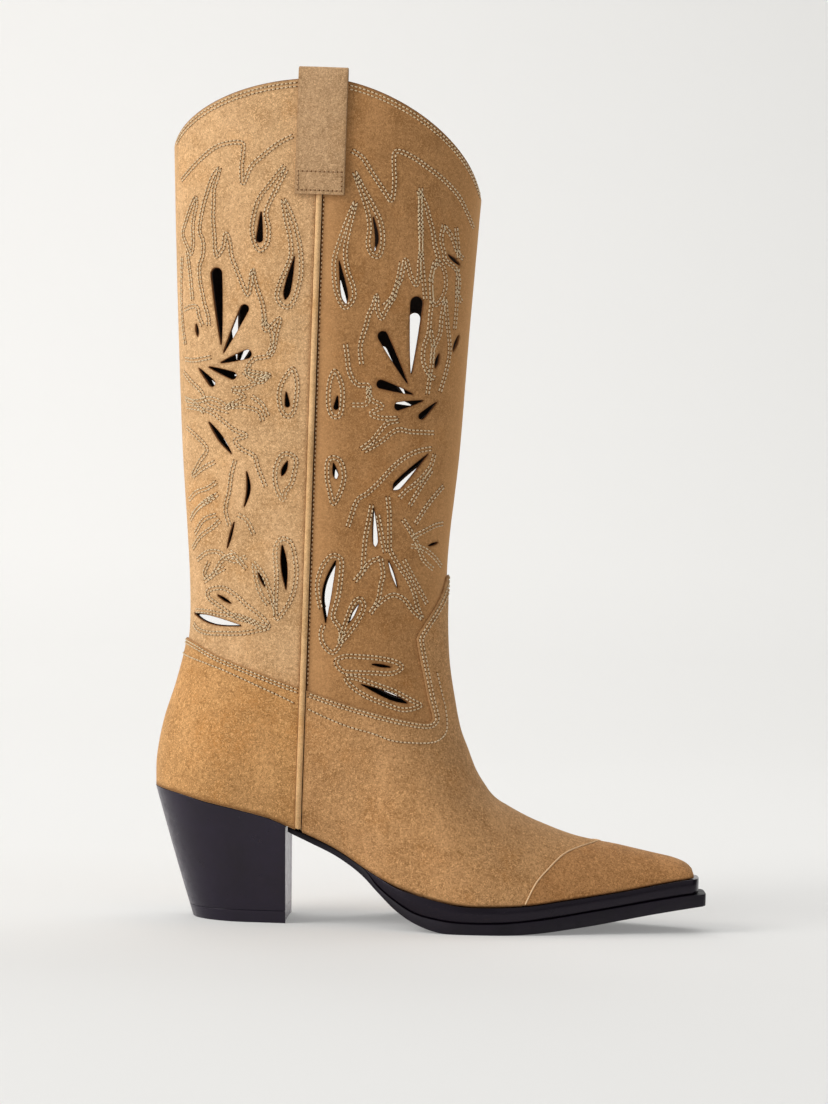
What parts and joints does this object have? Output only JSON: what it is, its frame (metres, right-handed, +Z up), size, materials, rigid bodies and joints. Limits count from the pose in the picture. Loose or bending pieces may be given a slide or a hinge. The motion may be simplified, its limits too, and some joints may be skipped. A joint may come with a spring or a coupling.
{
  "type": "cowboy boot",
  "caption": "Pull-on cowboy boot with a cut-out suede shaft, pointed toe, side pull straps and a block heel.",
  "frame": {"origin": "on the ground, in the middle of the bounding box, 66 mm in front of the side seams", "axes": "+X to the toe, +Z up, -Y to the outer side of a right boot"},
  "size_m": [0.2674, 0.0936, 0.4042],
  "materials": {
    "tan_suede": "napped suede",
    "tan_suede_trim": "napped suede",
    "black_lining": "smooth lining leather",
    "fibre_stiffener": "matte fibre sheet",
    "insole_board": "matte fibreboard",
    "foam": "matte foam",
    "sock_leather": "smooth leather",
    "spring_steel": "satin",
    "cork": "matte cork",
    "glossy_rand": "glossy, lacquered",
    "black_sole": "satin, lacquered edge",
    "heel_lacquer": "soft gloss lacquer",
    "lift_rubber": "matte",
    "zinc_steel": "satin",
    "thread": "waxed thread"
  },
  "bodies": {
    "root": {"vamp": "tan_suede", "toe_cap": "tan_suede", "counter": "tan_suede", "front_shaft_panel": "tan_suede", "back_shaft_panel": "tan_suede", "front_shaft_lining": "black_lining", "back_shaft_lining": "black_lining", "vamp_lining": "black_lining", "heel_lining": "black_lining", "counter_stiffener": "fibre_stiffener", "toe_puff": "fibre_stiffener", "outer_side_piping": "tan_suede_trim", "inner_side_piping": "tan_suede_trim", "outer_pull_strap": "tan_suede_trim", "inner_pull_strap": "tan_suede_trim", "insole_board": "insole_board", "heel_pad": "foam", "sock_liner": "sock_leather", "steel_shank": "spring_steel", "bottom_filler": "cork", "rand": "glossy_rand", "outsole": "black_sole", "heel_block": "heel_lacquer", "top_lift": "lift_rubber", "heel_screw": "zinc_steel", "heel_nails": "zinc_steel", "top_lift_nails": "zinc_steel", "top_edge_stitching": "thread", "vamp_stitching": "thread", "counter_stitching": "thread", "pull_strap_stitching": "thread"}
  },
  "joints": []
}
